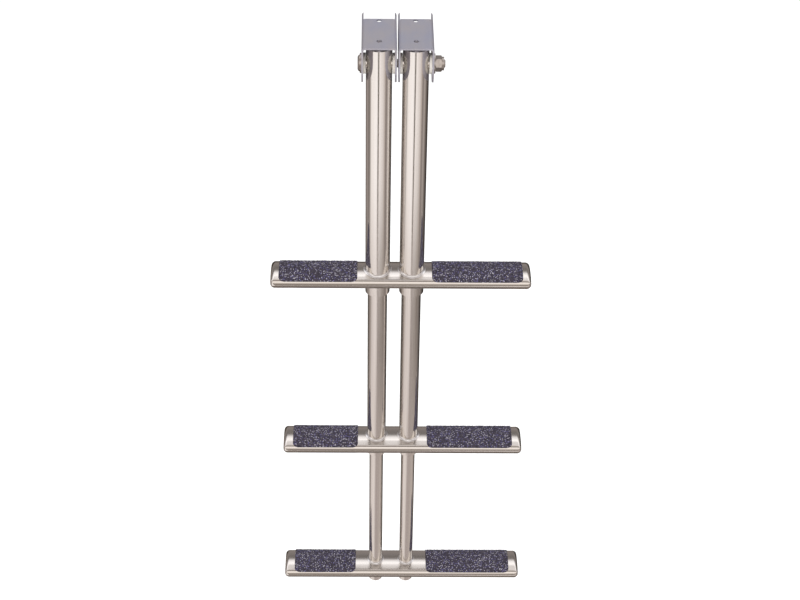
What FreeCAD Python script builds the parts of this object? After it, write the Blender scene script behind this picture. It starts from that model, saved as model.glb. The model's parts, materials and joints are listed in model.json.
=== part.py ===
import FreeCAD, Part
import math
import os
import Sketcher

# Telescoping three step boarding ladder on two hinge brackets.
# Origin: centre of the four screw holes, on the mounting face of the brackets.
# Heights in the formulas count from the pivot axis; place() moves them to the origin.
# +Z up, the person climbs from the -Y side, +Y runs in under the platform.

os.makedirs("parts", exist_ok=True)
doc = FreeCAD.newDocument("boarding_ladder")

sheet = doc.addObject("Spreadsheet::Sheet", "Sizes")
sizes = {
    # rails
    "upper_od": 31.75,
    "tube_wall": 1.5,
    "stage_gap": 1.675,
    "bracket_gap": 1.95,
    # heights of the rungs, each from the one above
    "upper_drop": 310,
    "middle_drop": 280,
    "lower_drop": 239,
    "upper_tail": 13.5,
    "upper_tip": 23,
    "head_plate": 2,
    "middle_tail": 9,
    "lower_tail": 12.5,
    # rungs
    "upper_length": 323,
    "middle_length": 315,
    "lower_length": 326,
    "upper_shift": 8,
    "middle_shift": 14,
    "lower_shift": 16,
    "rung_depth": 49,
    "rung_height": 21,
    "rung_edge": 7.5,
    "rung_wall": 1.5,
    # rung end caps
    "cap_crown": 6.4,
    "cap_round": 6,
    "cap_plug": 12,
    "cap_fit": 0.1,
    # tread pads
    "pad_thick": 1.2,
    "upper_pad_gap": 10.125,
    "middle_pad_gap": 9.5,
    "lower_pad_gap": 13,
    "upper_pad_margin": 4.2,
    "middle_pad_margin": 6.7,
    "lower_pad_margin": 7.5,
    "pad_front": 22.8,
    "pad_back_low": 3,
    "pad_corner": 7,
    # weld beads
    "weld_size": 2,
    # pivot
    "bolt_dia": 10,
    "bolt_clear": 0.2,
    "sleeve_od": 15,
    "sleeve_fit": 0.05,
    "spacer_od": 25,
    "spacer_thick": 3,
    "side_play": 0.15,
    "washer_od": 24,
    "washer_thick": 2,
    "head_dia": 20,
    "head_thick": 2.6,
    "socket_flats": 6,
    "nut_flats": 17,
    "nut_height": 8,
    "nut_bevel": 1.8,
    "insert_height": 2.4,
    "bolt_tip": 1.6,
    # brackets
    "sheet_thick": 2,
    "bend_radius": 4.5,
    "ear_radius": 22.5,
    "web_gap": 1.55,
    "web_length": 75.2,
    "tongue": 18,
    "flange_depth": 30,
    "screw_hole": 6.5,
    "screw_front": 18.5,
    "screw_spacing": 52,
    # sliding guides
    "slide_gap": 0.3,
    "bush_length": 25,
    "bush_inset": 1,
    "piston_length": 20,
    "piston_lip": 2,
    # feet
    "foot_dome": 5,
    "foot_plug": 14,
    "foot_fit": 0.1,
}
for row, (alias, value) in enumerate(sizes.items(), start=1):
    sheet.set(f"A{row}", alias)
    sheet.set(f"B{row}", str(value))
    sheet.setAlias(f"B{row}", alias)
doc.recompute()

nodes = []


def size(alias):
    return float(sheet.get(alias))


def formula(text):
    """Puts the sheet's name before each alias in an expression."""
    words = text.replace("(", " ( ").replace(")", " ) ").split()
    return " ".join(f"Sizes.{word}" if word in sizes else word for word in words)


def bind(target, prop, text):
    target.setExpression(prop, formula(text))


def new_body(label):
    body = doc.addObject("PartDesign::Body", label)
    body.Label = label
    nodes.append(body)
    return body


def place(target, x="0", y="0", z="0"):
    """Puts a piece at a spot counted from the middle of the pivot axis."""
    bind(target, "Placement.Base.x", x)
    bind(target, "Placement.Base.y", f"{y} + ear_radius - screw_front - screw_spacing / 2")
    bind(target, "Placement.Base.z", f"{z} - {web_top}")


def new_sketch(body, role, name):
    sketch = body.newObject("Sketcher::SketchObject", name)
    plane = [item for item in body.Origin.OriginFeatures if item.Role == role][0]
    sketch.AttachmentSupport = [(plane, "")]
    sketch.MapMode = "FlatFace"
    return sketch


def vec(x, y):
    return FreeCAD.Vector(x, y, 0)


def fix_value(sketch, constraint, text):
    index = sketch.addConstraint(constraint)
    sketch.setExpression(f"Constraints[{index}]", formula(text))
    return index


def value_of(text):
    """The value of a formula now, as a first position for the sketch."""
    return float(sheet.evalExpression(formula(text)))


def add_circle(sketch, radius, x="0", y="0"):
    centre = vec(value_of(x), value_of(y))
    geo = sketch.addGeometry(Part.Circle(centre, FreeCAD.Vector(0, 0, 1), value_of(radius)))
    fix_value(sketch, Sketcher.Constraint("Radius", geo, value_of(radius)), radius)
    for kind, text, value in (("DistanceX", x, centre.x), ("DistanceY", y, centre.y)):
        if text == "0":
            axis = -2 if kind == "DistanceX" else -1
            sketch.addConstraint(Sketcher.Constraint("PointOnObject", geo, 3, axis))
        else:
            fix_value(sketch, Sketcher.Constraint(kind, -1, 1, geo, 3, value), text)
    return geo


def add_polygon(sketch, corners):
    """Closed straight outline; each corner is a pair of formulas tied to the sketch origin."""
    spots = [vec(value_of(x), value_of(y)) for x, y in corners]
    first = len(sketch.Geometry)
    for i, spot in enumerate(spots):
        sketch.addGeometry(Part.LineSegment(spot, spots[(i + 1) % len(spots)]))
    for i in range(len(spots)):
        sketch.addConstraint(Sketcher.Constraint("Coincident", first + i, 2,
                                                 first + (i + 1) % len(spots), 1))
    for i, (x, y) in enumerate(corners):
        tie_point(sketch, first + i, 1, x, y, spots[i])
    return first


def tie_point(sketch, geo, point, x, y, spot):
    for kind, text, value, axis in (("DistanceX", x, spot.x, -2), ("DistanceY", y, spot.y, -1)):
        if text == "0":
            sketch.addConstraint(Sketcher.Constraint("PointOnObject", geo, point, axis))
        else:
            fix_value(sketch, Sketcher.Constraint(kind, -1, 1, geo, point, value), text)


def add_oval(sketch, depth, height, edge):
    """Flat oval of four tangent arcs: two small edge arcs and two wide crown arcs."""
    half_d = value_of(f"( {depth} ) / 2 - ( {edge} )")
    half_h = value_of(f"( {height} ) / 2 - ( {edge} )")
    small = value_of(edge)
    rise = (half_d ** 2 - half_h ** 2) / (2 * half_h)
    wide = rise + half_h + small
    turn = math.atan2(rise, half_d)
    up = FreeCAD.Vector(0, 0, 1)
    arcs = (((half_d, 0), small, -turn, turn),
            ((0, -rise), wide, turn, math.pi - turn),
            ((-half_d, 0), small, math.pi - turn, math.pi + turn),
            ((0, rise), wide, math.pi + turn, 2 * math.pi - turn))
    ids = []
    for (x, y), radius, start, end in arcs:
        ids.append(sketch.addGeometry(Part.ArcOfCircle(Part.Circle(vec(x, y), up, radius), start, end)))
    right, top, left, bottom = ids
    for one, two in ((right, top), (top, left), (left, bottom), (bottom, right)):
        sketch.addConstraint(Sketcher.Constraint("Tangent", one, 2, two, 1))
    sketch.addConstraint(Sketcher.Constraint("PointOnObject", right, 3, -1))
    sketch.addConstraint(Sketcher.Constraint("Symmetric", left, 3, right, 3, -1, 1))
    fix_value(sketch, Sketcher.Constraint("Radius", right, small), edge)
    sketch.addConstraint(Sketcher.Constraint("Equal", right, left))
    fix_value(sketch, Sketcher.Constraint("DistanceX", left, 3, right, 3, 2 * half_d),
              f"( {depth} ) - 2 * ( {edge} )")
    half_d_text = f"( ( {depth} ) / 2 - ( {edge} ) )"
    half_h_text = f"( ( {height} ) / 2 - ( {edge} ) )"
    fix_value(sketch, Sketcher.Constraint("Radius", top, wide),
              f"( {half_d_text} ^ 2 + {half_h_text} ^ 2 ) / ( 2 * {half_h_text} ) + ( {edge} )")
    sketch.addConstraint(Sketcher.Constraint("Equal", top, bottom))


def pad(body, sketch, length, name="Pad", both=False, back=False):
    feature = body.newObject("PartDesign::Pad", name)
    feature.Profile = sketch
    bind(feature, "Length", length)
    feature.Midplane = both
    feature.Reversed = back
    sketch.Visibility = False
    return feature


def pocket_through(body, sketch, name="Pocket"):
    """Cuts the outline right through the body on both sides of its plane."""
    feature = body.newObject("PartDesign::Pocket", name)
    feature.Profile = sketch
    feature.Type = 1
    feature.Midplane = True
    sketch.Visibility = False
    return feature


def round_edges(body, base, radius, chosen, name="Fillet"):
    """Fillets the edges of the base feature that the chosen test picks."""
    doc.recompute()
    names = [f"Edge{i}" for i, edge in enumerate(base.Shape.Edges, start=1) if chosen(edge)]
    if not names:
        raise ValueError(f"no edge to round on {body.Label}")
    feature = body.newObject("PartDesign::Fillet", name)
    feature.Base = (base, names)
    bind(feature, "Radius", radius)
    return feature


def ring(label, outer, inner, length, role="XY_Plane", x="0", y="0", z="0"):
    """Plain tube or washer along the normal of the plane, from the body's origin."""
    body = new_body(label)
    sketch = new_sketch(body, role, f"{label}_section")
    add_circle(sketch, outer)
    add_circle(sketch, inner)
    pad(body, sketch, length, f"{label}_pad")
    place(body, x, y, z)
    return body


# each stage's tube leaves the same gap all round inside the one above
middle_od = "( upper_od - 2 * tube_wall - 2 * stage_gap )"
lower_od = "( upper_od - 4 * tube_wall - 4 * stage_gap )"
# heights worked out once from the sheet
upper_z = "- upper_drop"
middle_z = "- upper_drop - middle_drop"
lower_z = "- upper_drop - middle_drop - lower_drop"
upper_end = "- upper_drop - rung_height / 2 - upper_tail"
middle_end = "- upper_drop - middle_drop - rung_height / 2 - middle_tail"
lower_end = "- upper_drop - middle_drop - lower_drop - rung_height / 2 - lower_tail"
stop_height = "bush_inset + bush_length + slide_gap + piston_length"
middle_top = f"{upper_end} + {stop_height}"
lower_top = f"{middle_end} + {stop_height}"
rail_pitch = "( upper_od + 2 * side_play + 2 * spacer_thick + 2 * sheet_thick + bracket_gap )"
side_x = {"left": f"- {rail_pitch} / 2", "right": f"{rail_pitch} / 2"}
inside_width = "upper_od + 2 * spacer_thick + 2 * side_play"
bracket_half = "( upper_od / 2 + side_play + spacer_thick + sheet_thick )"
head_reach = "( ( upper_tip * upper_tip + upper_od * upper_od / 4 ) ^ 0.5 )"
web_under = f"( {head_reach} + web_gap )"
web_top = f"( {head_reach} + web_gap + sheet_thick )"


def hinge_bracket(side):
    """Folded channel: web on top with two screw holes, two long flanges ending in round ears."""
    body = new_body(f"{side}_bracket")
    outline = new_sketch(body, "YZ_Plane", f"{side}_flange_outline")
    radius = size("ear_radius")
    top = value_of(web_top)
    rear = value_of("web_length - ear_radius + tongue")
    low = top - size("flange_depth")
    up = FreeCAD.Vector(0, 0, 1)
    # the lower edge leaves the ear on a tangent and rises to the tail
    reach = math.hypot(rear, low)
    lean = math.atan2(low, rear) - math.acos(radius / reach)
    touch = vec(radius * math.cos(lean), radius * math.sin(lean))
    front = outline.addGeometry(Part.LineSegment(vec(-radius, top), vec(-radius, 0)))
    ear = outline.addGeometry(Part.ArcOfCircle(
        Part.Circle(vec(0, 0), up, radius), math.pi, 2 * math.pi + lean))
    lower = outline.addGeometry(Part.LineSegment(touch, vec(rear, low)))
    tail = outline.addGeometry(Part.LineSegment(vec(rear, low), vec(rear, top)))
    upper = outline.addGeometry(Part.LineSegment(vec(rear, top), vec(-radius, top)))
    outline.addConstraint(Sketcher.Constraint("Coincident", ear, 3, -1, 1))
    fix_value(outline, Sketcher.Constraint("Radius", ear, radius), "ear_radius")
    outline.addConstraint(Sketcher.Constraint("Tangent", front, 2, ear, 1))
    outline.addConstraint(Sketcher.Constraint("Vertical", front))
    outline.addConstraint(Sketcher.Constraint("Tangent", ear, 2, lower, 1))
    outline.addConstraint(Sketcher.Constraint("Coincident", lower, 2, tail, 1))
    outline.addConstraint(Sketcher.Constraint("Coincident", tail, 2, upper, 1))
    outline.addConstraint(Sketcher.Constraint("Coincident", upper, 2, front, 1))
    outline.addConstraint(Sketcher.Constraint("Vertical", tail))
    outline.addConstraint(Sketcher.Constraint("Horizontal", upper))
    fix_value(outline, Sketcher.Constraint("DistanceY", -1, 1, tail, 2, top), web_top)
    fix_value(outline, Sketcher.Constraint("DistanceX", -1, 1, tail, 2, rear),
              "web_length - ear_radius + tongue")
    fix_value(outline, Sketcher.Constraint("DistanceY", tail, 1, tail, 2, top - low), "flange_depth")
    block = pad(body, outline, f"2 * {bracket_half}", f"{side}_block", both=True)
    half = value_of(bracket_half)

    def long_top_edge(edge):
        box = edge.BoundBox
        return box.YLength > 50 and box.ZLength < 0.01 and box.ZMax > top - 0.01

    round_edges(body, block, "bend_radius", long_top_edge, f"{side}_bends")
    channel = new_sketch(body, "XZ_Plane", f"{side}_channel")
    inner = value_of(f"( {inside_width} ) / 2")
    under = value_of(web_under)
    bend = value_of("bend_radius - sheet_thick")
    deep = value_of("ear_radius + 5")
    spots = [vec(-inner, -deep), vec(inner, -deep), vec(inner, under - bend),
             vec(inner - bend, under), vec(bend - inner, under), vec(-inner, under - bend)]
    base = channel.addGeometry(Part.LineSegment(spots[0], spots[1]))
    wall_r = channel.addGeometry(Part.LineSegment(spots[1], spots[2]))
    arc_r = channel.addGeometry(Part.ArcOfCircle(
        Part.Circle(vec(inner - bend, under - bend), up, bend), 0, math.pi / 2))
    roof = channel.addGeometry(Part.LineSegment(spots[3], spots[4]))
    arc_l = channel.addGeometry(Part.ArcOfCircle(
        Part.Circle(vec(bend - inner, under - bend), up, bend), math.pi / 2, math.pi))
    wall_l = channel.addGeometry(Part.LineSegment(spots[5], spots[0]))
    channel.addConstraint(Sketcher.Constraint("Coincident", base, 2, wall_r, 1))
    channel.addConstraint(Sketcher.Constraint("Tangent", wall_r, 2, arc_r, 1))
    channel.addConstraint(Sketcher.Constraint("Tangent", arc_r, 2, roof, 1))
    channel.addConstraint(Sketcher.Constraint("Tangent", roof, 2, arc_l, 1))
    channel.addConstraint(Sketcher.Constraint("Tangent", arc_l, 2, wall_l, 1))
    channel.addConstraint(Sketcher.Constraint("Coincident", wall_l, 2, base, 1))
    channel.addConstraint(Sketcher.Constraint("Vertical", wall_r))
    channel.addConstraint(Sketcher.Constraint("Vertical", wall_l))
    channel.addConstraint(Sketcher.Constraint("Equal", arc_r, arc_l))
    channel.addConstraint(Sketcher.Constraint("Symmetric", base, 1, base, 2, -2))
    fix_value(channel, Sketcher.Constraint("DistanceX", base, 1, base, 2, 2 * inner), inside_width)
    fix_value(channel, Sketcher.Constraint("DistanceY", base, 1, -1, 1, deep), "ear_radius + 5")
    fix_value(channel, Sketcher.Constraint("DistanceY", -1, 1, roof, 1, under), web_under)
    fix_value(channel, Sketcher.Constraint("Radius", arc_r, bend), "bend_radius - sheet_thick")
    pocket_through(body, channel, f"{side}_channel_cut")
    # behind the web the flanges run on as two tongues
    ends = new_sketch(body, "XY_Plane", f"{side}_web_ends")
    clear = f"( {inside_width} ) / 2"
    back = "( web_length - ear_radius )"
    add_polygon(ends, [(f"- {clear}", back), (clear, back), (clear, f"{back} + 2 * tongue"),
                       (f"- {clear}", f"{back} + 2 * tongue")])
    pocket_through(body, ends, f"{side}_web_trim")
    screws = new_sketch(body, "XY_Plane", f"{side}_screw_holes")
    add_circle(screws, "screw_hole / 2", "0", "screw_front - ear_radius")
    add_circle(screws, "screw_hole / 2", "0", "screw_front - ear_radius + screw_spacing")
    pocket_through(body, screws, f"{side}_screw_cut")
    pivot = new_sketch(body, "YZ_Plane", f"{side}_pivot_hole")
    add_circle(pivot, "bolt_dia / 2 + bolt_clear")
    last = pocket_through(body, pivot, f"{side}_pivot_cut")

    def tail_corner(edge):
        box = edge.BoundBox
        return (box.YLength < 0.01 and box.ZLength < 0.01 and box.XLength < 3
                and abs(box.YMax - rear) < 0.01 and abs(box.ZMax - low) < 0.01)

    round_edges(body, last, "flange_depth / 5", tail_corner, f"{side}_tail_corners")
    place(body, side_x[side])


def pivot_hardware():
    """One long bolt through all four ears, with washers, nylon spacers and a lock nut."""
    outer = f"( {rail_pitch} / 2 + {bracket_half} )"
    bolt = new_body("pivot_bolt")
    turned = new_sketch(bolt, "XZ_Plane", "bolt_half_section")
    head_face = f"- {outer} - washer_thick"
    tip = f"{outer} + washer_thick + nut_height + insert_height + bolt_tip"
    add_polygon(turned, [(f"{head_face} - head_thick", "0"), (tip, "0"), (tip, "bolt_dia / 2 - 1"),
                         (f"{tip} - 1", "bolt_dia / 2"), (head_face, "bolt_dia / 2"),
                         (head_face, "head_dia / 2"), (f"{head_face} - head_thick * 0.4", "head_dia / 2"),
                         (f"{head_face} - head_thick", "head_dia / 2 - head_thick")])
    spin = bolt.newObject("PartDesign::Revolution", "bolt_turned")
    spin.Profile = turned
    spin.ReferenceAxis = (turned, ["H_Axis"])
    spin.Angle = 360
    turned.Visibility = False
    socket = new_sketch(bolt, "YZ_Plane", "bolt_socket")
    add_hexagon(socket, "socket_flats")
    bind(socket, "AttachmentOffset.Base.z", f"{head_face} - head_thick")
    recess = bolt.newObject("PartDesign::Pocket", "bolt_socket_cut")
    recess.Profile = socket
    bind(recess, "Length", "head_thick * 0.6")
    recess.Reversed = True
    socket.Visibility = False
    place(bolt)
    nut_face = f"{outer} + washer_thick"
    nut = new_body("pivot_nut")
    flats = new_sketch(nut, "YZ_Plane", "nut_flats_outline")
    add_hexagon(flats, "nut_flats")
    add_circle(flats, "bolt_dia / 2")
    pad(nut, flats, "nut_height", "nut_pad")
    bevel = new_sketch(nut, "XZ_Plane", "nut_bevel")
    for face, inward in (("0", "nut_bevel"), ("nut_height", "nut_height - nut_bevel")):
        add_polygon(bevel, [(face, "nut_flats / 2 - 0.2"), (face, "nut_flats / 2 - 0.2 + nut_bevel * 1.73"),
                            (inward, "nut_flats / 2 - 0.2 + nut_bevel * 1.73")])
    trim = nut.newObject("PartDesign::Groove", "nut_corners")
    trim.Profile = bevel
    trim.ReferenceAxis = (bevel, ["H_Axis"])
    trim.Angle = 360
    bevel.Visibility = False
    collar = new_sketch(nut, "YZ_Plane", "nut_collar")
    add_circle(collar, "nut_flats / 2 - 0.4")
    add_circle(collar, "nut_flats / 2 - 1.8")
    bind(collar, "AttachmentOffset.Base.z", "nut_height")
    pad(nut, collar, "insert_height", "nut_collar_pad")
    place(nut, nut_face)
    ring("nut_insert", "nut_flats / 2 - 1.8", "bolt_dia / 2", "insert_height - 0.3", "YZ_Plane",
         f"{nut_face} + nut_height")
    ring("nut_washer", "washer_od / 2", "bolt_dia / 2", "washer_thick", "YZ_Plane", outer)
    ring("head_washer", "washer_od / 2", "bolt_dia / 2", "washer_thick", "YZ_Plane",
         f"- {outer} - washer_thick")
    for side, x in side_x.items():
        faces = {"outer": f"{x} + upper_od / 2 + side_play",
                 "inner": f"{x} - upper_od / 2 - side_play - spacer_thick"}
        if side == "left":
            faces = {"inner": faces["outer"], "outer": faces["inner"]}
        for which, start in faces.items():
            ring(f"{side}_{which}_spacer", "spacer_od / 2", "bolt_dia / 2", "spacer_thick", "YZ_Plane", start)


def add_hexagon(sketch, flats):
    """Regular hexagon about the sketch origin with a flat on top."""
    texts = []
    for k in range(6):
        turn = math.radians(60 * k)
        across = f"{flats} / 2 * {math.cos(turn) / math.cos(math.pi / 6):.9f}"
        upward = f"{flats} / 2 * {math.sin(turn) / math.cos(math.pi / 6):.9f}"
        texts.append((across, "0" if k in (0, 3) else upward))
    add_polygon(sketch, texts)


def upper_rail(side):
    """Large tube cut square above the pivot sleeve and closed there by a flat plate."""
    x = side_x[side]
    rail = new_body(f"{side}_upper_rail")
    section = new_sketch(rail, "XY_Plane", f"{side}_rail_section")
    add_circle(section, "upper_od / 2")
    add_circle(section, "upper_od / 2 - tube_wall")
    bind(section, "AttachmentOffset.Base.z", upper_end)
    pad(rail, section, f"upper_tip + ( - ( {upper_end} ) )", f"{side}_rail_tube")
    cross = new_sketch(rail, "YZ_Plane", f"{side}_rail_cross_hole")
    add_circle(cross, "sleeve_od / 2")
    pocket_through(rail, cross, f"{side}_rail_cross_cut")
    place(rail, x)
    plate = new_body(f"{side}_head_plate")
    disc = new_sketch(plate, "XY_Plane", f"{side}_head_disc")
    add_circle(disc, "upper_od / 2 - tube_wall")
    bind(disc, "AttachmentOffset.Base.z", "upper_tip - head_plate")
    pad(plate, disc, "head_plate", f"{side}_head_plate_pad")
    place(plate, x)
    ring(f"{side}_pivot_sleeve", "sleeve_od / 2", "bolt_dia / 2 + sleeve_fit", "upper_od", "YZ_Plane",
         f"{x} - upper_od / 2")
    ring(f"{side}_upper_bush", "upper_od / 2 - tube_wall", f"{middle_od} / 2 + slide_gap", "bush_length",
         x=x, z=f"{upper_end} + bush_inset")


def inner_rail(side, stage, outer_od, od, end, top):
    """Smaller tube of a sliding stage with the nylon piston that guides and stops its head."""
    x = side_x[side]
    ring(f"{side}_{stage}_rail", f"{od} / 2", f"{od} / 2 - tube_wall", f"{top} - ( {end} )", x=x, z=end)
    piston = new_body(f"{side}_{stage}_piston")
    turned = new_sketch(piston, "XZ_Plane", f"{side}_{stage}_piston_section")
    wide = f"{outer_od} / 2 - tube_wall - slide_gap"
    bore = f"{od} / 2 - tube_wall - 2"
    add_polygon(turned, [(f"{od} / 2", "- piston_length"), (wide, "- piston_length"), (wide, "piston_lip"),
                         (bore, "piston_lip"), (bore, "0"), (f"{od} / 2", "0")])
    spin = piston.newObject("PartDesign::Revolution", f"{side}_{stage}_piston_turned")
    spin.Profile = turned
    spin.ReferenceAxis = (turned, ["V_Axis"])
    spin.Angle = 360
    turned.Visibility = False
    place(piston, x, z=top)


def rung(stage, length, shift, level, rail_od):
    """Hollow oval tread with two holes for the rails, end caps, pads and weld beads."""
    tread = new_body(f"{stage}_rung")
    section = new_sketch(tread, "YZ_Plane", f"{stage}_rung_section")
    add_oval(section, "rung_depth", "rung_height", "rung_edge")
    add_oval(section, "rung_depth - 2 * rung_wall", "rung_height - 2 * rung_wall", "rung_edge - rung_wall")
    pad(tread, section, length, f"{stage}_rung_tube", both=True)
    holes = new_sketch(tread, "XY_Plane", f"{stage}_rung_holes")
    for x in side_x.values():
        add_circle(holes, f"{rail_od} / 2", f"{x} - {shift}")
    pocket_through(tread, holes, f"{stage}_rung_hole_cut")
    place(tread, shift, z=level)
    for side, sign in (("left", "-"), ("right", "+")):
        end_cap(f"{stage}_cap_{side}", side, f"{shift} {sign} {length} / 2", level)
        tread_pad(f"{stage}_pad_{side}", side, length, shift, level)
    weld_beads(stage, length, rail_od, level)


def end_cap(label, side, x, level):
    """Crowned cover over the rung's open end, with a plug that sits inside the tube."""
    cap = new_body(label)
    cover = new_sketch(cap, "YZ_Plane", f"{label}_cover")
    add_oval(cover, "rung_depth", "rung_height", "rung_edge")
    outward = side == "right"
    face = pad(cap, cover, "cap_crown", f"{label}_cover_pad", back=not outward)
    reach = value_of("cap_crown") * (1 if outward else -1)

    def rim(edge):
        box = edge.BoundBox
        return abs(box.XMin - reach) < 0.01 and abs(box.XMax - reach) < 0.01

    round_edges(cap, face, "cap_round", rim, f"{label}_crown")
    plug = new_sketch(cap, "YZ_Plane", f"{label}_plug")
    inset = "( rung_wall + cap_fit )"
    add_oval(plug, f"rung_depth - 2 * {inset}", f"rung_height - 2 * {inset}", f"rung_edge - {inset}")
    pad(cap, plug, "cap_plug", f"{label}_plug_pad", back=outward)
    place(cap, x, z=level)


def add_corner(sketch, x, inward):
    """Outline of the waste outside a rounded front corner of a pad, seen from above."""
    radius = size("pad_corner")
    end_x = value_of(x)
    front = -size("pad_front")
    mid = vec(end_x + inward * radius, front + radius)
    out = vec(end_x - inward, front - 1)
    up = FreeCAD.Vector(0, 0, 1)
    turn = (math.pi, 1.5 * math.pi) if inward > 0 else (1.5 * math.pi, 2 * math.pi)
    arc = sketch.addGeometry(Part.ArcOfCircle(Part.Circle(mid, up, radius), *turn))
    side_end, front_end = (1, 2) if inward > 0 else (2, 1)
    spots = [vec(mid.x, front), vec(mid.x, out.y), out, vec(out.x, mid.y), vec(end_x, mid.y)]
    ids = [sketch.addGeometry(Part.LineSegment(spots[i], spots[i + 1])) for i in range(4)]
    sketch.addConstraint(Sketcher.Constraint("Coincident", arc, front_end, ids[0], 1))
    for one, two in zip(ids, ids[1:]):
        sketch.addConstraint(Sketcher.Constraint("Coincident", one, 2, two, 1))
    sketch.addConstraint(Sketcher.Constraint("Coincident", ids[3], 2, arc, side_end))
    for line, kind in zip(ids, ("Vertical", "Horizontal", "Vertical", "Horizontal")):
        sketch.addConstraint(Sketcher.Constraint(kind, line))
    fix_value(sketch, Sketcher.Constraint("Radius", arc, radius), "pad_corner")
    sketch.addConstraint(Sketcher.Constraint("Vertical", arc, front_end, arc, 3))
    sketch.addConstraint(Sketcher.Constraint("Horizontal", arc, side_end, arc, 3))
    tie_point(sketch, arc, 3, f"{x} + {inward} * pad_corner", "- pad_front + pad_corner", mid)
    tie_point(sketch, ids[1], 2, f"{x} - {inward}", "- pad_front - 1", out)


def tread_pad(label, side, length, shift, level):
    """Gritty strip bonded over the crown and the back edge of the tread."""
    reach = f"( {length} / 2 - {shift} )" if side == "left" else f"( {length} / 2 + {shift} )"
    stage = label.split("_")[0]
    inner = f"( {rail_pitch} / 2 + upper_od / 2 + {stage}_pad_gap )"
    strip_length = f"{reach} - {stage}_pad_margin - {inner}"
    strip = new_body(label)
    section = new_sketch(strip, "YZ_Plane", f"{label}_section")
    add_oval(section, "rung_depth + 2 * pad_thick", "rung_height + 2 * pad_thick", "rung_edge + pad_thick")
    add_oval(section, "rung_depth", "rung_height", "rung_edge")
    pad(strip, section, strip_length, f"{label}_sleeve", back=side == "left")
    trim = new_sketch(strip, "YZ_Plane", f"{label}_trim_outline")
    add_polygon(trim, [("- rung_depth", "- rung_depth"), ("rung_depth", "- rung_depth"),
                       ("rung_depth", "- pad_back_low"), ("- pad_front", "- pad_back_low"),
                       ("- pad_front", "rung_depth"), ("- rung_depth", "rung_depth")])
    pocket_through(strip, trim, f"{label}_trim")
    corners = new_sketch(strip, "XY_Plane", f"{label}_corner_outline")
    inward = -1 if side == "left" else 1
    add_corner(corners, "0", inward)
    add_corner(corners, f"{inward} * ( {strip_length} )", -inward)
    pocket_through(strip, corners, f"{label}_corners")
    place(strip, f"- {inner}" if side == "left" else inner, z=level)


def weld_beads(stage, length, rail_od, level):
    """Beads where the two rails pass the rung, above and below it, one solid each."""
    hoops = doc.addObject("Part::MultiFuse", f"{stage}_bead_hoops")
    hoop_list = []
    for side, x in side_x.items():
        outer = doc.addObject("Part::Cylinder", f"{stage}_{side}_bead_blank")
        bind(outer, "Radius", f"{rail_od} / 2 + weld_size")
        bind(outer, "Height", "rung_height + 3 * weld_size")
        place(outer, x, z=f"{level} - rung_height / 2 - 1.5 * weld_size")
        core = doc.addObject("Part::Cylinder", f"{stage}_{side}_bead_core")
        bind(core, "Radius", f"{rail_od} / 2")
        bind(core, "Height", "rung_height + 4 * weld_size")
        place(core, x, z=f"{level} - rung_height / 2 - 2 * weld_size")
        hoop = doc.addObject("Part::Cut", f"{stage}_{side}_bead_hoop")
        hoop.Base = outer
        hoop.Tool = core
        hoop_list.append(hoop)
    hoops.Shapes = hoop_list
    skin = doc.addObject("Sketcher::SketchObject", f"{stage}_bead_skin")
    skin.Placement.Rotation = FreeCAD.Rotation(FreeCAD.Vector(0, 1, 0), FreeCAD.Vector(0, 0, 1),
                                               FreeCAD.Vector(1, 0, 0), "ZXY")
    place(skin, z=level)
    add_oval(skin, "rung_depth + 2 * weld_size", "rung_height + 2 * weld_size", "rung_edge + weld_size")
    add_oval(skin, "rung_depth", "rung_height", "rung_edge")
    sleeve = doc.addObject("Part::Extrusion", f"{stage}_bead_sleeve")
    sleeve.Base = skin
    sleeve.DirMode = "Normal"
    sleeve.Solid = True
    sleeve.FaceMakerClass = "Part::FaceMakerBullseye"
    sleeve.Symmetric = True
    bind(sleeve, "LengthFwd", length)
    beads = doc.addObject("Part::Common", f"{stage}_welds")
    beads.Base = hoops
    beads.Tool = sleeve
    beads.Label = f"{stage}_welds"
    nodes.append(beads)


for side in ("left", "right"):
    hinge_bracket(side)
pivot_hardware()
for side in ("left", "right"):
    upper_rail(side)
rung("upper", "upper_length", "upper_shift", upper_z, "upper_od")
for side in ("left", "right"):
    inner_rail(side, "middle", "upper_od", middle_od, middle_end, middle_top)
    ring(f"{side}_middle_bush", f"{middle_od} / 2 - tube_wall", f"{lower_od} / 2 + slide_gap", "bush_length",
         x=side_x[side], z=f"{middle_end} + bush_inset")
rung("middle", "middle_length", "middle_shift", middle_z, middle_od)
for side in ("left", "right"):
    inner_rail(side, "lower", middle_od, lower_od, lower_end, lower_top)
rung("lower", "lower_length", "lower_shift", lower_z, lower_od)


def foot_plug(side):
    """Domed plug pressed into the open foot of the lowest rail."""
    plug = new_body(f"{side}_foot_plug")
    turned = new_sketch(plug, "XZ_Plane", f"{side}_foot_section")
    wide = f"{lower_od} / 2"
    bore = f"{wide} - tube_wall - foot_fit"
    add_polygon(turned, [("0", "- foot_dome"), (f"{wide} - foot_dome * 0.6", "- foot_dome"),
                         (wide, "- foot_dome * 0.4"), (wide, "0"), (bore, "0"), (bore, "foot_plug"),
                         ("0", "foot_plug")])
    spin = plug.newObject("PartDesign::Revolution", f"{side}_foot_turned")
    spin.Profile = turned
    spin.ReferenceAxis = (turned, ["V_Axis"])
    spin.Angle = 360
    turned.Visibility = False
    place(plug, side_x[side], z=lower_end)


for side in ("left", "right"):
    foot_plug(side)

doc.recompute()
for item in doc.Objects:
    if {"Invalid", "Error"} & set(item.State):
        raise RuntimeError(f"{item.Label}: {item.State}")
for item in nodes:
    if item.Shape.isNull() or not item.Shape.isValid():
        raise RuntimeError(f"{item.Label} has no valid shape")
    item.Shape.exportStep(f"parts/{item.Label}.step")
print(len(nodes), "nodes written")
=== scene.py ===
import json
import math
import bpy
import numpy as np
from mathutils import Matrix, Vector


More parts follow.
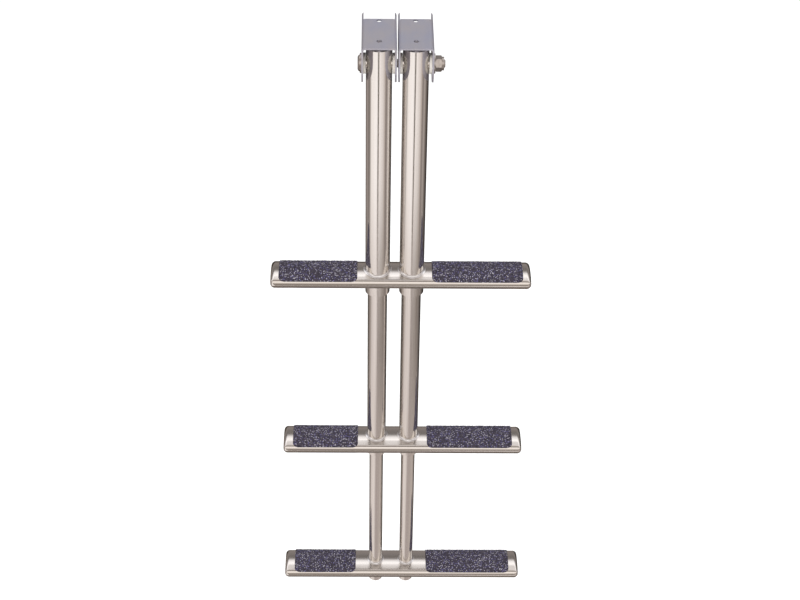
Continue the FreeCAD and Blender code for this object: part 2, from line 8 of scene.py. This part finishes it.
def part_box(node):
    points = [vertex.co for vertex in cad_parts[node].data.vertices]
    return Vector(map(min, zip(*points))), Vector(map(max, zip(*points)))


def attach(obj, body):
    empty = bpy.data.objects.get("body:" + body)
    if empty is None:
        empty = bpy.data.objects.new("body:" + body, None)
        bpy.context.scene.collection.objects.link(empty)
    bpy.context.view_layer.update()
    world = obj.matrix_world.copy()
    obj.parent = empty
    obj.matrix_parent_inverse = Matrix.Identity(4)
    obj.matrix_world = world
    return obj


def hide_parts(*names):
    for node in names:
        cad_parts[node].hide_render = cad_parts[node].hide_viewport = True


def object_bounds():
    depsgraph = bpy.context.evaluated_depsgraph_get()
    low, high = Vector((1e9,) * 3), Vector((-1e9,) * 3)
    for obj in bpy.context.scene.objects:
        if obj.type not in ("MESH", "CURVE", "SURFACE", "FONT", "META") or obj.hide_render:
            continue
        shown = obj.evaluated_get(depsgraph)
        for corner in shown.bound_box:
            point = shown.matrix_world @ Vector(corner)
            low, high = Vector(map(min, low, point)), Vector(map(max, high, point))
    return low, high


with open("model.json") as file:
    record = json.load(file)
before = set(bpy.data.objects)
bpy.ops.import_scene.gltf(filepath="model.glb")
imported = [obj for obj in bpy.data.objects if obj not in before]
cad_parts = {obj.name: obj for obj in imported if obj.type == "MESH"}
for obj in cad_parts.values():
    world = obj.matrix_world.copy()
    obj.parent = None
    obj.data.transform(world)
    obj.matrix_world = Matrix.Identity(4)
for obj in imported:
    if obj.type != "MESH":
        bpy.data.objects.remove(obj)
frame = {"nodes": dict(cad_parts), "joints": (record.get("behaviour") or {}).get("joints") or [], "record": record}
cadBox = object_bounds()
nodes = frame["nodes"]
pivot = Vector(next(j["pos_m"] for j in frame["joints"] if j["name"] == "ladder_swing"))
print("frame loaded:", len(nodes), "nodes")


class Value:
    # wraps a socket, so that an expression on values adds the Math nodes it needs
    def __init__(self, maker, socket):
        self.maker = maker
        self.socket = socket

    def math(self, operation, *others, clamp=False):
        made = self.maker.node("ShaderNodeMath", {"operation": operation, "use_clamp": clamp},
                               {0: self, **{i + 1: other for i, other in enumerate(others)}})
        return self.maker.value(made, 0)

    def __add__(self, other):
        return self.math("ADD", other)

    def __sub__(self, other):
        return self.math("SUBTRACT", other)

    def __mul__(self, other):
        return self.math("MULTIPLY", other)

    def __truediv__(self, other):
        return self.math("DIVIDE", other)

    def __radd__(self, other):
        return self + other

    def __rmul__(self, other):
        return self * other

    def __rsub__(self, other):
        return self * -1 + other

    def above(self, edge, soft):
        # 0 below the edge, 1 above it, with a straight slope as wide as soft between
        return ((self - edge) / soft).math("ADD", 0.5, clamp=True)

    def joined(self, other, share):
        # share of this value and the rest of the other
        return share * self + (1 - share) * other


class Maker:
    # adds nodes to one tree
    def __init__(self, tree):
        self.tree = tree
        self.tree.nodes.clear()

    def node(self, kind, settings=None, inputs=None):
        made = self.tree.nodes.new(kind)
        for name, setting in (settings or {}).items():
            if name == "stops":
                self.fillRamp(made.color_ramp, setting)
            else:
                setattr(made, name, setting)
        for name, given in (inputs or {}).items():
            if isinstance(given, Value):
                given = given.socket
            if isinstance(given, bpy.types.NodeSocket):
                self.tree.links.new(given, made.inputs[name])
            else:
                made.inputs[name].default_value = given
        return made

    def fillRamp(self, ramp, stops):
        while len(ramp.elements) < len(stops):
            ramp.elements.new(0.5)
        for element, (place, colour) in zip(ramp.elements, stops):
            element.position = place
            element.color = (*colour, 1)

    def value(self, node, output=0):
        return Value(self, node.outputs[output])

    def place(self, stretch):
        # object coordinates in metres, multiplied along each axis
        coords = self.node("ShaderNodeTexCoord")
        return self.node("ShaderNodeVectorMath", {"operation": "MULTIPLY"},
                         {0: coords.outputs["Object"], 1: stretch}).outputs[0]

    def noise(self, stretch, detail=2.0, rough=0.5):
        made = self.node("ShaderNodeTexNoise", {}, {"Vector": self.place(stretch), "Scale": 1.0,
                                                    "Detail": detail, "Roughness": rough})
        return self.value(made, "Fac")

    def mix(self, factor, one, two):
        made = self.node("ShaderNodeMix", {"data_type": "RGBA"}, {"Factor": factor, 6: one, 7: two})
        return made.outputs[2]

    def bump(self, height, distance):
        made = self.node("ShaderNodeBump", {}, {"Height": height, "Distance": distance, "Strength": 1.0})
        return made.outputs[0]

    def surface(self, inputs):
        shader = self.node("ShaderNodeBsdfPrincipled", {}, inputs)
        self.node("ShaderNodeOutputMaterial", {}, {"Surface": shader.outputs[0]})


def newMaterial(name):
    material = bpy.data.materials.new(name)
    material.use_nodes = True
    return material, Maker(material.node_tree)


def rgb(r, g, b):
    return (r, g, b, 1)


# lengths are in metres, and a noise's figures are waves per metre; each edge is (level, softness)
steel = {"light": rgb(0.82, 0.795, 0.77), "dull": rgb(0.70, 0.665, 0.63), "rough": 0.09, "spread": 0.10,
         "lineStep": 0.0011, "lineRun": 0.16, "broadShare": 0.12, "smudges": 26,
         "toneLines": 0.55, "toneEdge": (0.5, 0.5), "roughLines": 0.6, "bump": 0.000010}


def drawnSteel(name, along):
    # polished tube: fine lines run along the axis that it was drawn and buffed on
    material, m = newMaterial(name)
    across = 1 / steel["lineStep"]
    lengthwise = 1 / steel["lineRun"]
    stretch = [across, across, across]
    stretch["XYZ".index(along)] = lengthwise
    lines = m.noise(tuple(stretch), 3.0, 0.6)
    broad = m.noise(tuple(s * steel["broadShare"] for s in stretch), 1.0)
    smudge = m.noise((steel["smudges"],) * 3, 2.0)
    tone = lines.joined(broad, steel["toneLines"]).above(*steel["toneEdge"])
    m.surface({"Base Color": m.mix(tone, steel["dull"], steel["light"]), "Metallic": 1.0,
               "Roughness": steel["rough"] + steel["spread"] * lines.joined(smudge, steel["roughLines"]),
               "Normal": m.bump(lines, steel["bump"])})
    return material


satin = {"base": rgb(0.56, 0.54, 0.58), "cool": rgb(0.48, 0.49, 0.60), "metal": 0.75, "rough": 0.32,
         "spread": 0.16, "bloom": (38, 24, 38), "bloomEdge": (0.5, 0.4), "grain": 1400, "grainRun": 0.3,
         "roughBloom": 0.5, "bump": 0.00002}


def satinSteel():
    # pickled sheet of the brackets: grey with a faint blue bloom and a fine even grain
    material, m = newMaterial("satinSteel")
    bloom = m.noise(satin["bloom"], 3.0)
    grain = m.noise((satin["grain"], satin["grain"] * satin["grainRun"], satin["grain"]), 2.0)
    m.surface({"Base Color": m.mix(bloom.above(*satin["bloomEdge"]), satin["base"], satin["cool"]),
               "Metallic": satin["metal"],
               "Roughness": satin["rough"] + satin["spread"] * bloom.joined(grain, satin["roughBloom"]),
               "Normal": m.bump(grain, satin["bump"])})
    return material


fastener = {"base": rgb(0.62, 0.58, 0.55), "worn": rgb(0.46, 0.42, 0.39), "rough": 0.26, "spread": 0.2,
            "patches": 210, "wornEdge": (0.55, 0.4), "bump": 0.00003}


def fastenerSteel():
    # turned and stamped hardware, a little duller in patches
    material, m = newMaterial("fastenerSteel")
    patch = m.noise((fastener["patches"],) * 3, 3.0)
    m.surface({"Base Color": m.mix(patch.above(*fastener["wornEdge"]), fastener["base"], fastener["worn"]),
               "Metallic": 1.0,
               "Roughness": fastener["rough"] + fastener["spread"] * patch,
               "Normal": m.bump(patch, fastener["bump"])})
    return material


weld = {"base": rgb(0.93, 0.93, 0.95), "tint": rgb(0.74, 0.72, 0.72), "rough": 0.24, "spread": 0.14,
        "heat": 160, "tintEdge": (0.55, 0.3), "brush": 900, "bump": 0.00003}


def weldSteel():
    # brushed weld metal with slight heat tint
    material, m = newMaterial("weldSteel")
    heat = m.noise((weld["heat"],) * 3, 2.0)
    m.surface({"Base Color": m.mix(heat.above(*weld["tintEdge"]), weld["base"], weld["tint"]),
               "Metallic": 1.0,
               "Roughness": weld["rough"] + weld["spread"] * heat,
               "Normal": m.bump(m.noise((weld["brush"],) * 3, 2.0), weld["bump"])})
    return material


nylon = {"base": rgb(0.70, 0.67, 0.63), "aged": rgb(0.56, 0.52, 0.47), "rough": 0.36, "spread": 0.14,
         "patches": 70, "agedEdge": (0.5, 0.5), "toolMarks": (1800, 500, 500), "bump": 0.00004}


def whiteNylon():
    # turned nylon, a little yellowed, with faint tool marks
    material, m = newMaterial("whiteNylon")
    age = m.noise((nylon["patches"],) * 3, 2.0)
    m.surface({"Base Color": m.mix(age.above(*nylon["agedEdge"]), nylon["base"], nylon["aged"]),
               "Roughness": nylon["rough"] + nylon["spread"] * age,
               "Normal": m.bump(m.noise(nylon["toolMarks"], 1.0), nylon["bump"])})
    return material


# the fleck and blue colours are partly the grains' own colour and partly painted glints
grit = {"binder": rgb(0.012, 0.010, 0.020), "dust": rgb(0.046, 0.037, 0.055), "fleck": rgb(0.40, 0.38, 0.44),
        "blue": rgb(0.11, 0.10, 0.24), "fleckStep": 0.0013, "fleckShare": 0.17, "blueShare": 0.22,
        "coreEdge": (0.45, 0.2), "pickSoft": 0.02, "clouds": 420, "dustEdge": (0.5, 0.35),
        "rough": 0.75, "fleckShine": 0.35, "pits": 1500, "bump": 0.0002}


def gritSheet():
    # dark binder with mineral grains; some grains are painted light grey and some blue, partly their own colour
    # and partly painted glints, and these grains are less rough
    material, m = newMaterial("gritSheet")
    cell = 1 / grit["fleckStep"]
    grains = m.node("ShaderNodeTexVoronoi", {"feature": "F1"},
                    {"Vector": m.place((cell, cell, cell)), "Scale": 1.0})
    pick = m.node("ShaderNodeSeparateColor", {}, {0: grains.outputs["Color"]})
    core = 1 - m.value(grains, "Distance").above(*grit["coreEdge"])
    # light grey and blue grains: partly grain colour, partly painted glints
    fleck = m.value(pick, 0).above(1 - grit["fleckShare"], grit["pickSoft"]) * core
    blue = m.value(pick, 1).above(1 - grit["blueShare"], grit["pickSoft"]) * core
    cloud = m.noise((grit["clouds"],) * 3, 3.0)
    base = m.mix(cloud.above(*grit["dustEdge"]), grit["binder"], grit["dust"])
    m.surface({"Base Color": m.mix(fleck, m.mix(blue, base, grit["blue"]), grit["fleck"]),
               "Roughness": grit["rough"] - grit["fleckShine"] * fleck,
               "Normal": m.bump(m.noise((grit["pits"],) * 3, 3.0), grit["bump"])})
    return material


railSteel = drawnSteel("railSteel", "Z")
rungSteel = drawnSteel("rungSteel", "X")
finishes = {"satin_steel": satinSteel(), "fastener_steel": fastenerSteel(), "weld_steel": weldSteel(),
            "white_nylon": whiteNylon(), "grit_pad": gritSheet()}
for part in frame["record"]["subparts"]:
    name = part["node"]
    finish = finishes.get(part["material_slot"], rungSteel if "rung" in name or "cap" in name else railSteel)
    obj = nodes[name]
    obj.data.materials.clear()
    obj.data.materials.append(finish)
print("finishes given to the frame's nodes")

tread = {"edge": 0.0075}


class Oval:
    # flat oval of four tangent arcs, as the treads are rolled: two small edge arcs, two wide crown arcs
    def __init__(self, rungNode):
        low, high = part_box(rungNode)
        self.midY, self.midZ = (low.y + high.y) / 2, (low.z + high.z) / 2
        self.depth, self.height = high.y - low.y, high.z - low.z
        self.edge = tread["edge"]
        reach = self.depth / 2 - self.edge
        rise = self.height / 2 - self.edge
        self.drop = (reach ** 2 - rise ** 2) / (2 * rise)
        self.crown = self.drop + self.height / 2
        self.reach = reach
        self.turn = math.atan2(self.drop, reach)   # angle at which the crown meets the edge arc

    def along(self, angle):
        # point and outward normal for a direction of the normal, counted from +Y towards +Z
        angle = np.asarray(angle, float)
        normal = np.stack([np.cos(angle), np.sin(angle)], -1)
        onCrown = np.abs(normal[..., 0]) < math.cos(self.turn)
        sideY = np.where(onCrown, 0.0, np.sign(normal[..., 0]) * self.reach)
        sideZ = np.where(onCrown, -np.sign(normal[..., 1]) * self.drop, 0.0)
        radius = np.where(onCrown, self.crown, self.edge)
        y = self.midY + sideY + radius * normal[..., 0]
        z = self.midZ + sideZ + radius * normal[..., 1]
        return y, z, normal

    def rise(self, y):
        # height above the middle of the tread at a distance y from its centre line
        away = np.clip(np.abs(y) - self.reach, 0, self.edge)
        onEdge = np.sqrt(self.edge ** 2 - away ** 2)
        onCrown = np.sqrt(self.crown ** 2 - y ** 2) - self.drop
        return np.where(np.abs(y) < self.crown * math.cos(self.turn), onCrown, onEdge)


def ringMesh(points, flip):
    # points is an array rows x columns x 3, closed both ways; neighbouring points are joined into quads
    rows, columns = points.shape[:2]
    index = np.arange(rows * columns).reshape(rows, columns)
    index = np.concatenate([index, index[:1]], 0)
    index = np.concatenate([index, index[:, :1]], 1)
    a, b, c, d = index[:-1, :-1], index[:-1, 1:], index[1:, 1:], index[1:, :-1]
    quads = np.stack([d, c, b, a] if flip else [a, b, c, d], -1).reshape(-1, 4)
    return points.reshape(-1, 3), quads


def addPiece(name, parts, material, body, replaced):
    # parts is a list of (points, quads); they become one object that rides on a body
    points, faces, start = [], [], 0
    for spots, quads in parts:
        points.append(spots)
        faces.append(quads + start)
        start += len(spots)
    points = np.concatenate(points).astype(np.float32)
    faces = np.concatenate(faces)
    mesh = bpy.data.meshes.new(name)
    mesh.vertices.add(len(points))
    mesh.vertices.foreach_set("co", points.ravel())
    mesh.loops.add(faces.size)
    mesh.loops.foreach_set("vertex_index", faces.ravel())
    mesh.polygons.add(len(faces))
    mesh.polygons.foreach_set("loop_start", np.arange(0, faces.size, 4))
    mesh.polygons.foreach_set("use_smooth", np.ones(len(faces), bool))
    mesh.update(calc_edges=True)
    mesh.validate()
    mesh.materials.append(material)
    obj = bpy.data.objects.new(name, mesh)
    bpy.context.scene.collection.objects.link(obj)
    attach(obj, body)
    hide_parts(*replaced)


pad = {"thick": 0.0012, "round": 0.0009, "corner": 0.007, "front": 0.0228, "backLow": 0.003, "step": 0.00075,
       "grain": 0.00038, "grainStep": 0.0013, "grainLevel": 0.45, "grainSteep": 3.2,
       "coarseShare": 0.65, "fineScale": 0.55, "peakZero": 0.6, "sunk": 0.0001, "margin": 0.01,
       "samples": 2000, "seedStep": 7}


def lattice(rng, u, v, step):
    # smooth noise: random heights on a square lattice, blended by the cubic 3t^2 - 2t^3 between its points
    rows, columns = int(u.max() / step) + 3, int(v.max() / step) + 3
    heights = rng.random((rows, columns))
    gu, gv = u / step, v / step
    iu, iv = gu.astype(int), gv.astype(int)
    fu, fv = gu - iu, gv - iv
    fu, fv = fu * fu * (3 - 2 * fu), fv * fv * (3 - 2 * fv)
    low = heights[iu, iv] * (1 - fu) + heights[iu + 1, iv] * fu
    high = heights[iu, iv + 1] * (1 - fu) + heights[iu + 1, iv + 1] * fu
    return low * (1 - fv) + high * fv


def gritPad(node, stage, seed):
    # strip over the tread: each point lies on the oval, lifted along its normal by the pad's thickness,
    # which falls to nothing over a quarter round at the rim, plus grains of lattice noise
    oval = Oval(f"{stage}_rung")
    low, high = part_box(node)
    rng = np.random.default_rng(seed)
    frontAngle = math.pi / 2 + math.asin(pad["front"] / oval.crown)
    if pad["front"] > oval.crown * math.cos(oval.turn):
        frontAngle = math.pi - math.acos((pad["front"] - oval.reach) / oval.edge)
    backAngle = -math.asin(pad["backLow"] / oval.edge)
    fine = np.linspace(frontAngle, backAngle, pad["samples"])
    y, z, _ = oval.along(fine)
    run = np.concatenate([[0], np.cumsum(np.hypot(np.diff(y), np.diff(z)))])
    rows = int(run[-1] / pad["step"])
    columns = int((high.x - low.x) / pad["step"])
    s = np.linspace(0, run[-1], rows)
    y, z, normal = oval.along(np.interp(s, run, fine))
    half = (high.x - low.x) / 2
    corner = np.clip(pad["corner"] - s, 0, None)
    inset = pad["corner"] - np.sqrt(pad["corner"] ** 2 - corner ** 2)
    across = np.linspace(-1, 1, columns)
    x = (low.x + high.x) / 2 + (half - inset)[:, None] * across[None, :]
    toSide = (half - inset)[:, None] * (1 - np.abs(across))[None, :]
    toEnd = np.minimum(s, run[-1] - s)[:, None]
    rim = np.clip(np.minimum(toSide, toEnd) / pad["round"], 0, 1)
    lift = pad["thick"] * np.sqrt(1 - (1 - rim) ** 2)
    u, v = np.broadcast_to(s[:, None], x.shape), x - low.x + pad["margin"]
    coarse = lattice(rng, u, v, pad["grainStep"])
    fineGrains = lattice(rng, u, v, pad["grainStep"] * pad["fineScale"])
    grains = coarse * pad["coarseShare"] + fineGrains * (1 - pad["coarseShare"])
    peaks = np.clip((grains - pad["grainLevel"]) * pad["grainSteep"], 0, 1)
    lift = lift + rim * pad["grain"] * (peaks - pad["peakZero"])
    top = np.stack([x, y[:, None] + lift * normal[:, :1], z[:, None] + lift * normal[:, 1:]], -1)
    underY = y - pad["sunk"] * normal[:, 0]
    underZ = z - pad["sunk"] * normal[:, 1]
    under = np.stack([x, np.broadcast_to(underY[:, None], x.shape),
                      np.broadcast_to(underZ[:, None], x.shape)], -1)
    return shell(top, under)


def shell(top, under):
    # closes two grids of the same shape with walls along their four edges; faces point out of the solid
    rows, columns = top.shape[:2]
    count = rows * columns
    index = np.arange(count).reshape(rows, columns)
    a, b, c, d = index[:-1, :-1], index[:-1, 1:], index[1:, 1:], index[1:, :-1]
    upper = np.stack([a, b, c, d], -1).reshape(-1, 4)
    lower = np.stack([d, c, b, a], -1).reshape(-1, 4) + count
    loop = np.concatenate([index[0, :-1], index[:-1, -1], index[-1, :0:-1], index[:0:-1, 0]])
    after = np.roll(loop, -1)
    walls = np.stack([after, loop, loop + count, after + count], -1)
    return np.concatenate([top.reshape(-1, 3), under.reshape(-1, 3)]), np.concatenate([upper, lower, walls])


seam = {"top": 0.0025, "under": 0.0016, "ripple": 0.03, "pitch": 0.0021, "sunk": 0.0003,
        "arc": 9, "perDrop": 5, "fewest": 12, "least": 0.88, "uneven": 0.2, "lumps": 8, "seed": 40}


def weldSeam(oval, railX, railRadius, sign, rng):
    # ground fillet where a rail meets the tread; its hollow face is a quarter circle of size c,
    # r = radius + c (1 - sin a), h = c (1 - cos a), carried round the rail and laid on the oval
    size = seam["top"] if sign > 0 else seam["under"]
    drops = max(seam["fewest"], round(2 * math.pi * railRadius / seam["pitch"]))
    steps = drops * seam["perDrop"]
    t = np.linspace(0, 2 * math.pi, steps, endpoint=False)
    ripple = np.abs(np.sin(t * drops / 2))
    lumpAngles = np.linspace(0, 2 * math.pi, seam["lumps"] + 1)
    slow = np.interp(t, lumpAngles, np.append(rng.random(seam["lumps"]), 0.5), period=2 * math.pi)
    c = size * (seam["least"] + seam["ripple"] * ripple + seam["uneven"] * slow)[:, None]
    a = np.linspace(0, math.pi / 2, seam["arc"])[None, :]
    out = c * (1 - np.sin(a))
    high = c * (1 - np.cos(a))
    sunk = np.full_like(c, seam["sunk"])
    out = np.concatenate([out, -sunk, -sunk, c], 1)
    high = np.concatenate([high, c, -sunk, -sunk], 1)
    x = railX + (railRadius + out) * np.cos(t)[:, None]
    y = (railRadius + out) * np.sin(t)[:, None]
    z = oval.midZ + sign * (oval.rise(y) + high)
    points = np.stack([x, oval.midY + y, z], -1)
    return ringMesh(points, flip=sign < 0)


stages = {"upper": "upper_frame", "middle": "middle_frame", "lower": "lower_frame"}
for number, (stage, body) in enumerate(stages.items()):
    rng = np.random.default_rng(seam["seed"] + number)
    oval = Oval(f"{stage}_rung")
    parts = []
    for side in ("left", "right"):
        low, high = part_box(f"{side}_{stage}_rail")
        radius = (high.x - low.x) / 2
        for sign in (1, -1):
            parts.append(weldSeam(oval, (low.x + high.x) / 2, radius, sign, rng))
        node = f"{stage}_pad_{side}"
        strip = gritPad(node, stage, pad["seedStep"] * number + len(side))
        addPiece(f"{stage}_grit_{side}", [strip], finishes["grit_pad"], body, [node])
    addPiece(f"{stage}_beads", parts, finishes["weld_steel"], body, [f"{stage}_welds"])
    print(stage, "pads and weld beads made")

sharpAngle = 32   # an edge of a frame node that turns by more than this stays sharp
for obj in nodes.values():
    obj.data.polygons.foreach_set("use_smooth", np.ones(len(obj.data.polygons), bool))
    obj.data.set_sharp_from_angle(angle=math.radians(sharpAngle))

studio = {"floorDrop": 0.30, "floorSize": 60.0, "floorColour": rgb(0.96, 0.96, 0.96), "floorRough": 0.9}


def makeFloor():
    z = cadBox[0][2] - studio["floorDrop"]
    half = studio["floorSize"] / 2
    spots = np.array([[[-half, -half, z], [half, -half, z]], [[-half, half, z], [half, half, z]]])
    mesh = bpy.data.meshes.new("floor")
    mesh.from_pydata(spots.reshape(-1, 3).tolist(), [], [(0, 1, 3, 2)])
    material, m = newMaterial("paleFloor")
    m.surface({"Base Color": studio["floorColour"], "Roughness": studio["floorRough"]})
    mesh.materials.append(material)
    floor = bpy.data.objects.new("floor", mesh)
    bpy.context.scene.collection.objects.link(floor)
    floor.visible_glossy = False


surround = {
    # what the steel mirrors, by heading: 0 is straight behind the ladder, 0.5 straight in front of it
    "round": [(0.00, (0.85, 0.80, 0.77)), (0.025, (0.70, 0.64, 0.61)), (0.055, (0.05, 0.045, 0.04)),
              (0.10, (0.20, 0.17, 0.15)),
              (0.17, (0.44, 0.38, 0.36)), (0.235, (0.24, 0.21, 0.19)), (0.27, (0.32, 0.28, 0.26)),
              (0.315, (1.16, 1.10, 1.07)), (0.44, (1.28, 1.23, 1.22)), (0.470, (1.20, 1.14, 1.12)),
              (0.482, (0.13, 0.11, 0.09)), (0.500, (0.13, 0.11, 0.09)), (0.512, (1.24, 1.17, 1.15)),
              (0.60, (0.98, 0.91, 0.88)), (0.65, (0.66, 0.58, 0.54)), (0.685, (0.27, 0.23, 0.21)),
              (0.745, (0.50, 0.44, 0.41)), (0.80, (0.20, 0.17, 0.15)), (0.87, (0.05, 0.04, 0.04)),
              (0.95, (0.03, 0.03, 0.03)), (0.98, (0.70, 0.64, 0.61)), (1.00, (0.85, 0.80, 0.77))],
    # the same lower down, where the slimmer rails look: one wide bright field, the rest dull
    "roundLow": [(0.00, (0.70, 0.64, 0.61)), (0.05, (0.04, 0.04, 0.035)), (0.13, (0.12, 0.10, 0.09)),
                 (0.24, (0.40, 0.35, 0.32)), (0.32, (0.74, 0.66, 0.63)), (0.46, (0.90, 0.82, 0.79)),
                 (0.485, (0.86, 0.78, 0.75)), (0.508, (0.36, 0.31, 0.29)), (0.60, (0.32, 0.28, 0.25)),
                 (0.73, (0.27, 0.23, 0.21)), (0.80, (0.15, 0.13, 0.12)), (0.87, (0.05, 0.04, 0.04)),
                 (0.95, (0.04, 0.04, 0.035)), (1.00, (0.70, 0.64, 0.61))],
    "roundFloor": [(0.00, (0.70, 0.64, 0.61)), (0.05, (0.05, 0.05, 0.04)), (0.15, (0.24, 0.21, 0.19)),
                   (0.27, (0.92, 0.84, 0.81)), (0.41, (0.92, 0.84, 0.80)), (0.47, (0.52, 0.45, 0.43)),
                   (0.60, (0.56, 0.49, 0.46)), (0.73, (0.66, 0.58, 0.54)), (0.84, (0.14, 0.12, 0.11)),
                   (0.90, (0.05, 0.04, 0.04)), (0.95, (0.05, 0.04, 0.04)), (1.00, (0.70, 0.64, 0.61))],
    # over the top: 0 is the horizon behind the ladder, 0.5 straight up, 1 the horizon in front
    "overhead": [(0.00, (0.12, 0.10, 0.09)), (0.04, (0.30, 0.26, 0.24)), (0.10, (0.28, 0.25, 0.24)),
                 (0.20, (0.20, 0.18, 0.17)), (0.245, (0.24, 0.22, 0.21)), (0.27, (0.55, 0.52, 0.52)),
                 (0.295, (1.05, 1.02, 1.03)), (0.365, (1.45, 1.42, 1.42)), (0.39, (0.95, 0.91, 0.91)),
                 (0.41, (0.86, 0.82, 0.81)), (0.455, (0.90, 0.85, 0.83)), (0.55, (0.70, 0.65, 0.62)),
                 (0.62, (0.24, 0.20, 0.18)), (0.68, (0.24, 0.20, 0.18)), (0.72, (1.15, 1.07, 1.02)),
                 (0.88, (1.10, 1.02, 0.96)), (0.96, (0.55, 0.49, 0.44)), (1.00, (0.45, 0.39, 0.35))],
    # close to the horizon, in front of the ladder and behind it, and straight below
    "skirt": rgb(0.36, 0.31, 0.27), "dusk": rgb(0.03, 0.025, 0.02), "ground": rgb(0.20, 0.17, 0.15),
    # how far down a ray has to point for each of these; a width is that of the blend
    "lowBelow": -0.565, "floorBelow": -0.640, "groundBelow": -0.75, "skirtAbove": -0.42, "duskAbove": -0.30,
    "skirtHalf": 0.12, "duskFrom": 0.42, "bandWidth": 0.03, "groundWidth": 0.06, "edgeWidth": 0.08,
    "headingWidth": 0.06, "overheadWidth": 0.3, "fill": 1.0,
}


def makeWorld():
    world = bpy.data.worlds.new("studio")
    bpy.context.scene.world = world
    world.use_nodes = True
    m = Maker(world.node_tree)
    heading = m.node("ShaderNodeTexCoord").outputs["Generated"]
    axes = m.node("ShaderNodeSeparateXYZ", {}, {0: heading})
    x, y, z = (m.value(axes, i) for i in range(3))
    turn = x.math("ARCTAN2", y * -1) / (2 * math.pi) + 0.5
    over = z.math("ARCTAN2", y) / math.pi
    rounds = [m.node("ShaderNodeValToRGB", {"stops": surround[name]}, {0: turn}).outputs[0]
              for name in ("roundFloor", "roundLow", "round")]
    aloft = m.node("ShaderNodeValToRGB", {"stops": surround["overhead"]}, {0: over}).outputs[0]
    lower = m.mix(z.above(surround["floorBelow"], surround["bandWidth"]), rounds[0], rounds[1])
    level = m.mix(z.above(surround["lowBelow"], surround["bandWidth"]), lower, rounds[2])
    aside = (turn - 0.5).math("ABSOLUTE")
    ahead = 1 - aside.above(surround["skirtHalf"], surround["headingWidth"])
    behind = aside.above(surround["duskFrom"], surround["headingWidth"])
    nearSkirt = z.above(surround["skirtAbove"], surround["edgeWidth"]) * ahead
    nearDusk = z.above(surround["duskAbove"], surround["edgeWidth"]) * behind
    level = m.mix(nearSkirt, level, surround["skirt"])
    level = m.mix(nearDusk, level, surround["dusk"])
    level = m.mix(z.above(surround["groundBelow"], surround["groundWidth"]), surround["ground"], level)
    mirrored = m.mix(z.above(0.0, surround["overheadWidth"]), level, aloft)
    path = m.node("ShaderNodeLightPath")
    seen = m.mix(m.value(path, "Is Glossy Ray"), rgb(1, 1, 1), mirrored)
    back = m.node("ShaderNodeBackground", {}, {"Color": seen, "Strength": surround["fill"]})
    m.node("ShaderNodeOutputWorld", {}, {"Surface": back.outputs[0]})


lights = {
    "key": {"from": (-0.9, -1.5, 1.3), "size": (0.9, 0.7), "power": 26, "colour": (1.0, 0.97, 0.93)},
    "rim": {"from": (0.9, 1.1, 1.2), "size": (0.8, 0.5), "power": 16, "colour": (0.95, 0.97, 1.0)},
    "low": {"from": (0.2, -1.9, -0.2), "size": (1.2, 0.5), "power": 7, "colour": (1.0, 0.96, 0.90)},
}


def makeLights():
    aim = Vector((0, 0, (cadBox[0][2] + cadBox[1][2]) / 2))
    for name, light in lights.items():
        data = bpy.data.lights.new(name, "AREA")
        data.shape = "RECTANGLE"
        data.size, data.size_y = light["size"]
        data.energy = light["power"]
        data.color = light["colour"]
        lamp = bpy.data.objects.new(name, data)
        bpy.context.scene.collection.objects.link(lamp)
        lamp.location = Vector(light["from"])
        lamp.visible_glossy = False
        lamp.rotation_euler = (aim - lamp.location).to_track_quat("-Z", "Y").to_euler()


# place is counted from the pivot in metres, turns in degrees, lens and sensor in millimetres
camera = {"lens": 81.0, "sensor": 36.0, "side": -0.0285, "back": 1.896, "up": 1.0424,
          "pitch": 36.29, "yaw": 1.09, "roll": 0.94}


def makeCamera():
    pitch, yaw, roll = (math.radians(camera[k]) for k in ("pitch", "yaw", "roll"))
    ahead = Vector((math.sin(yaw) * math.cos(pitch), math.cos(yaw) * math.cos(pitch), -math.sin(pitch)))
    right = Vector((math.cos(yaw), -math.sin(yaw), 0))
    up = right.cross(ahead)
    sideways = right * math.cos(roll) + up * math.sin(roll)
    upright = up * math.cos(roll) - right * math.sin(roll)
    data = bpy.data.cameras.new("camera")
    data.lens = camera["lens"]
    data.sensor_width = camera["sensor"]
    eye = bpy.data.objects.new("camera", data)
    bpy.context.scene.collection.objects.link(eye)
    turned = Matrix((sideways, upright, -ahead)).transposed().to_4x4()
    place = pivot + Vector((camera["side"], -camera["back"], camera["up"]))
    eye.matrix_world = Matrix.Translation(place) @ turned
    bpy.context.scene.camera = eye


makeFloor()
makeWorld()
makeLights()
makeCamera()
bpy.context.scene.view_settings.view_transform = "Standard"
print("floor, light and camera made")
